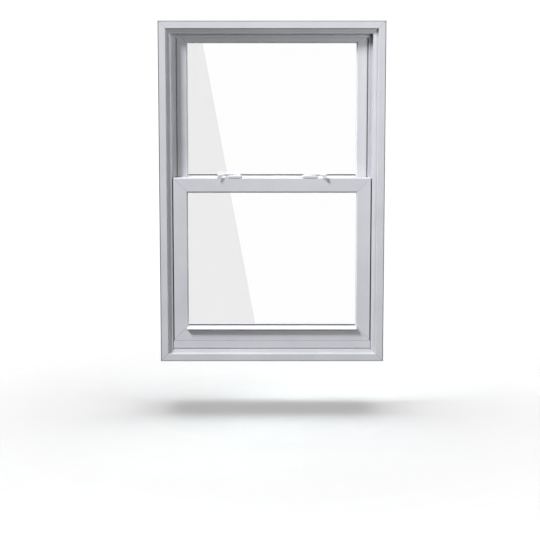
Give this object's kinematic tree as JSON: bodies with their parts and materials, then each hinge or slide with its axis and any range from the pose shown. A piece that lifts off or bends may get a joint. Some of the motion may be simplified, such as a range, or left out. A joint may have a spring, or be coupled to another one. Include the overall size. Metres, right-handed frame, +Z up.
{
  "type": "sash window",
  "caption": "White vinyl double-hung sash window with insulating glass, sliding lower and upper sashes, sweep locks and tilt latches.",
  "frame": {"origin": "middle of the frame's base, halfway between the room side and the outside", "axes": "+X along the width, +Y towards the outside, +Z up"},
  "size_m": [0.8, 0.083, 1.212],
  "materials": {
    "white_vinyl": "extruded white vinyl, satin",
    "glass": "clear float glass",
    "spacer_aluminium": "folded aluminium, matt",
    "seal_rubber": "grey pile and rubber",
    "steel": "zinc-plated steel",
    "nylon": "moulded nylon",
    "lock_enamel": "white powder-coated zinc casting",
    "moulded_trim": "moulded white plastic"
  },
  "bodies": {
    "frame": {"frame_head": "white_vinyl", "frame_sill": "white_vinyl", "frame_jamb_left": "white_vinyl", "frame_jamb_right": "white_vinyl", "sill_dam": "white_vinyl", "weep_covers": "moulded_trim", "head_seal": "seal_rubber", "coil_lower_left": "steel", "coil_lower_right": "steel", "coil_upper_left": "steel", "coil_upper_right": "steel", "tape_lower_left": "steel", "tape_lower_right": "steel", "tape_upper_left": "steel", "tape_upper_right": "steel"},
    "lower_sash": {"lower_top_rail": "white_vinyl", "lower_bottom_rail": "white_vinyl", "lower_stile_left": "white_vinyl", "lower_stile_right": "white_vinyl", "lower_glass_inner": "glass", "lower_glass_outer": "glass", "lower_spacer": "spacer_aluminium", "lower_glazing_beads": "white_vinyl", "lower_setting_blocks": "seal_rubber", "lower_bottom_seal": "seal_rubber", "lower_pile_seals": "seal_rubber", "lock_base_left": "lock_enamel", "lock_base_right": "lock_enamel", "lock_screws": "steel", "pivot_bar_lower_left": "steel", "pivot_bar_lower_right": "steel", "shoe_lower_left": "nylon", "shoe_lower_right": "nylon"},
    "upper_sash": {"upper_top_rail": "white_vinyl", "upper_bottom_rail": "white_vinyl", "upper_stile_left": "white_vinyl", "upper_stile_right": "white_vinyl", "upper_glass_inner": "glass", "upper_glass_outer": "glass", "upper_spacer": "spacer_aluminium", "upper_glazing_beads": "white_vinyl", "upper_setting_blocks": "seal_rubber", "upper_pile_seals": "seal_rubber", "keeper_left": "lock_enamel", "keeper_right": "lock_enamel", "keeper_screws": "steel", "pivot_bar_upper_left": "steel", "pivot_bar_upper_right": "steel", "shoe_upper_left": "nylon", "shoe_upper_right": "nylon"},
    "lock_left": {"lock_lever_left": "lock_enamel", "lock_cam_left": "steel"},
    "lock_right": {"lock_lever_right": "lock_enamel", "lock_cam_right": "steel"},
    "latch_lower_left": {"tilt_latch_lower_left": "moulded_trim"},
    "latch_lower_right": {"tilt_latch_lower_right": "moulded_trim"},
    "latch_upper_left": {"tilt_latch_upper_left": "moulded_trim"},
    "latch_upper_right": {"tilt_latch_upper_right": "moulded_trim"}
  },
  "joints": [
    {"name": "lower_sash_slide", "type": "slide", "parent": "frame", "child": "lower_sash", "axis": [0, 0, 1], "range_m": [0, 0.465], "deforming": ["tape_lower_left", "tape_lower_right"]},
    {"name": "upper_sash_slide", "type": "slide", "parent": "frame", "child": "upper_sash", "axis": [0, 0, -1], "range_m": [0, 0.465], "deforming": ["tape_upper_left", "tape_upper_right"]},
    {"name": "lock_left_turn", "type": "hinge", "parent": "lower_sash", "child": "lock_left", "pos_m": [-0.135, -0.0135, 0.661], "axis": [0, 0, 1], "range_deg": [0, 120]},
    {"name": "lock_right_turn", "type": "hinge", "parent": "lower_sash", "child": "lock_right", "pos_m": [0.135, -0.0135, 0.661], "axis": [0, 0, -1], "range_deg": [0, 120]},
    {"name": "latch_lower_left_draw", "type": "slide", "parent": "lower_sash", "child": "latch_lower_left", "axis": [1, 0, 0], "range_m": [0, 0.013], "stiffness_N_per_m": 250, "springref_m": -0.004},
    {"name": "latch_lower_right_draw", "type": "slide", "parent": "lower_sash", "child": "latch_lower_right", "axis": [-1, 0, 0], "range_m": [0, 0.013], "stiffness_N_per_m": 250, "springref_m": -0.004},
    {"name": "latch_upper_left_draw", "type": "slide", "parent": "upper_sash", "child": "latch_upper_left", "axis": [1, 0, 0], "range_m": [0, 0.013], "stiffness_N_per_m": 250, "springref_m": -0.004},
    {"name": "latch_upper_right_draw", "type": "slide", "parent": "upper_sash", "child": "latch_upper_right", "axis": [-1, 0, 0], "range_m": [0, 0.013], "stiffness_N_per_m": 250, "springref_m": -0.004}
  ]
}
